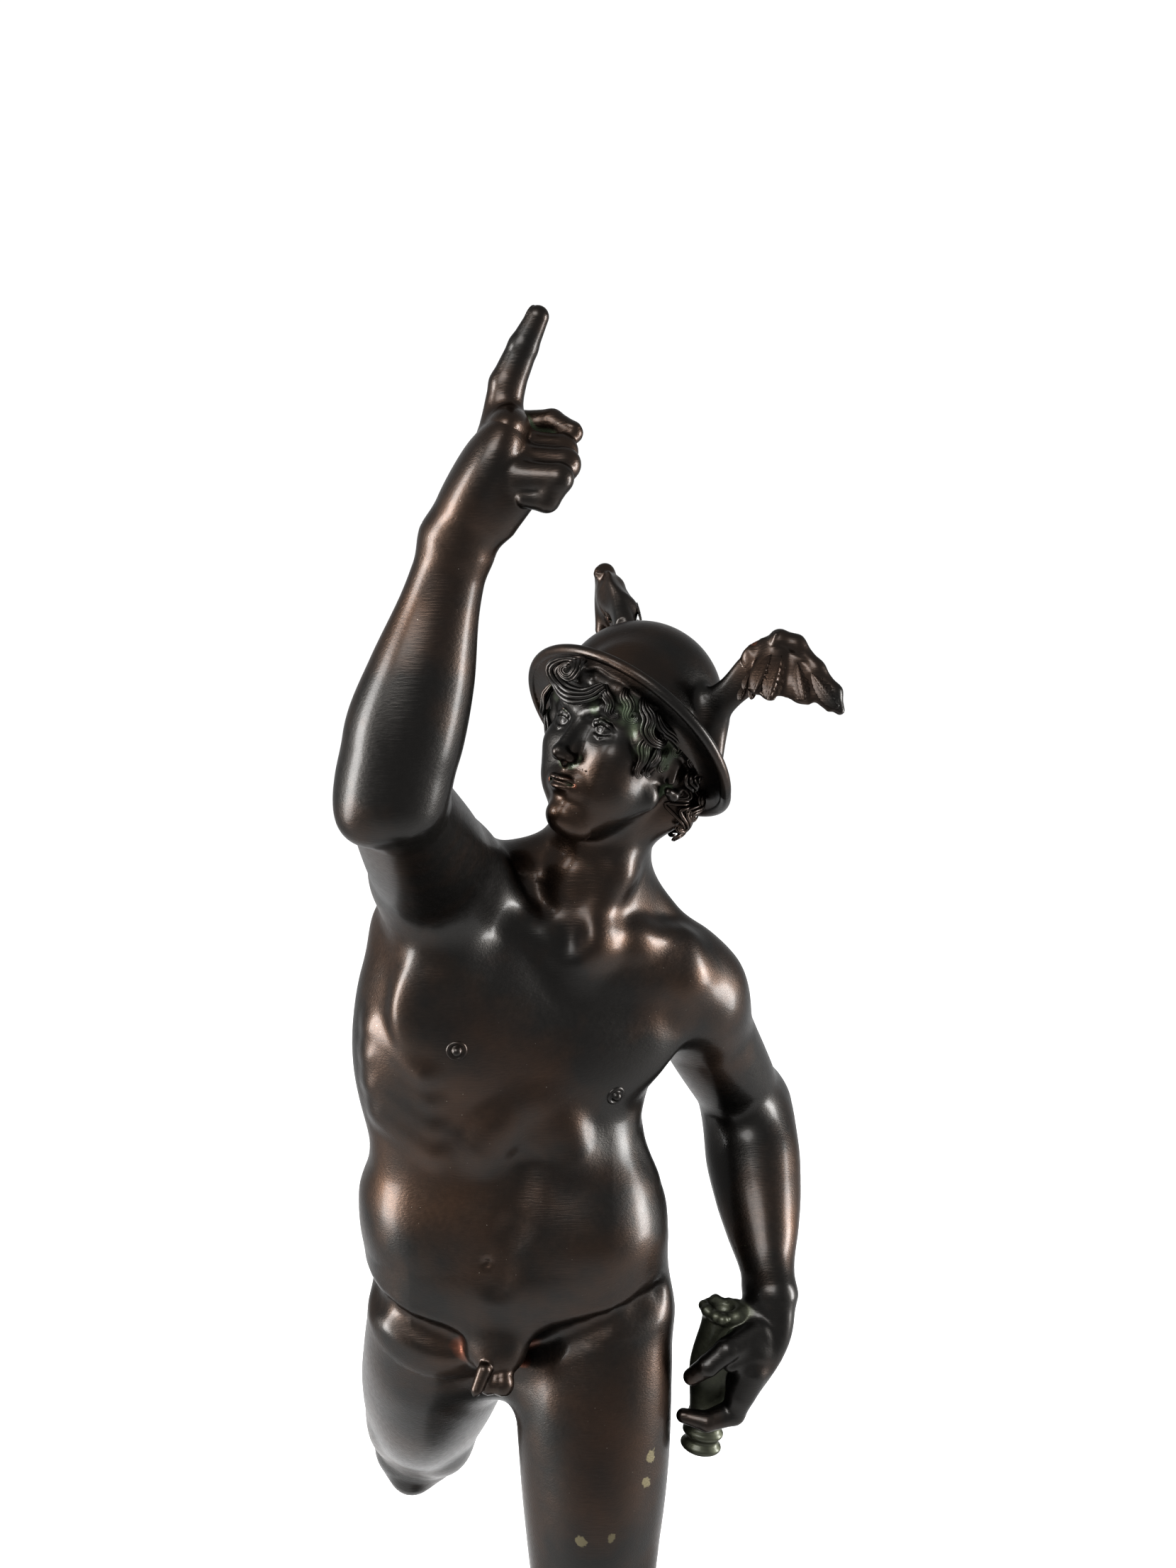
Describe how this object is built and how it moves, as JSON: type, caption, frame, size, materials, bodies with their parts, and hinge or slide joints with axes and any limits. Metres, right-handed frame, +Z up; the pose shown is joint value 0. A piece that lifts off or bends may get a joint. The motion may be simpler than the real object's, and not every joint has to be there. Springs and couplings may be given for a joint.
{
  "type": "bronze statuette of a messenger god",
  "caption": "Cast figure of a nude youth in a winged hat, one arm raised, one leg flung back, staff stump in hand, on a low round base.",
  "frame": {"origin": "centre of the base's underside", "axes": "+Z up; the chest faces -Y, the figure's left is +X; the raised right arm is on the -X side and the right leg is flung back to +Y"},
  "size_m": [0.2516, 0.5112, 0.9151],
  "materials": {
    "bronze_patina": "near-black brown glossy patina, reddish where rubbed, green in the hair",
    "base_bronze": "turned bronze with a near-black brown patina"
  },
  "bodies": {
    "root": {"mercury_figure": "bronze_patina", "base": "base_bronze"}
  },
  "joints": []
}
